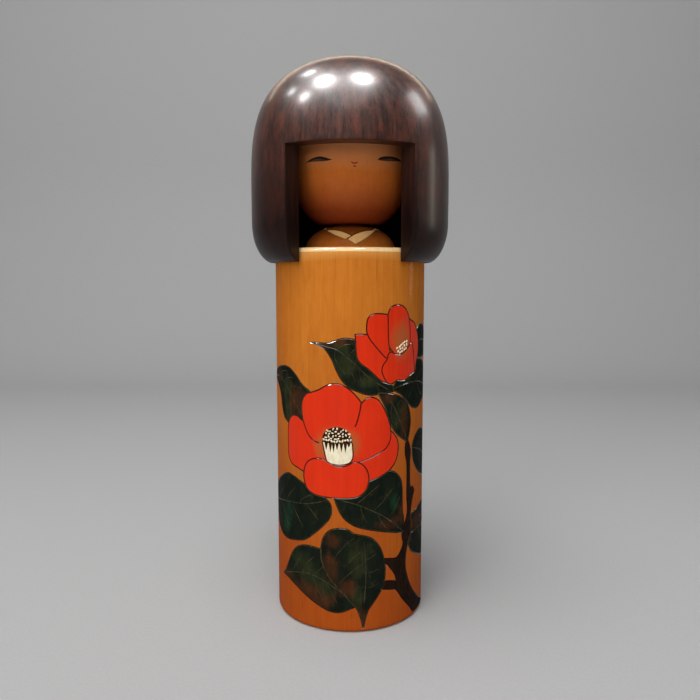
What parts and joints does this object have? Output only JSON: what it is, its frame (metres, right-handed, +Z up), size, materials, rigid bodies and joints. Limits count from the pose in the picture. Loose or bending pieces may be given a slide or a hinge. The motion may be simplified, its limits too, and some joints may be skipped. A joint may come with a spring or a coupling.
{
  "type": "kokeshi doll",
  "caption": "Turned wooden doll with a round column body, carved camellias, a round-cheeked head and a thick hair cap that turns on the neck.",
  "frame": {"origin": "centre of the body's flat base, on the surface the doll stands on", "axes": "+Z up along the turning axis; the face and window look along -Y; +X is the doll's left, the viewer's right"},
  "size_m": [0.1046, 0.1042, 0.2934],
  "materials": {
    "body_wood": "honey-stained, carved and painted under satin varnish",
    "shoulder_wood": "brown-stained under satin varnish, with bare wood collar bands",
    "face_wood": "orange-brown stain under satin varnish",
    "hair_wood": "very dark red-brown stain under polished lacquer",
    "dowel_wood": "bare"
  },
  "bodies": {
    "body": {"body_column": "body_wood", "shoulder_dome": "shoulder_wood", "neck_dowel": "dowel_wood"},
    "head": {"head": "face_wood", "crown_dowel": "dowel_wood", "hair_cap": "hair_wood"}
  },
  "joints": [
    {"name": "head_turn", "type": "hinge", "parent": "body", "child": "head", "pos_m": [0, 0, 0.209], "axis": [0, 0, 1], "continuous": true}
  ]
}
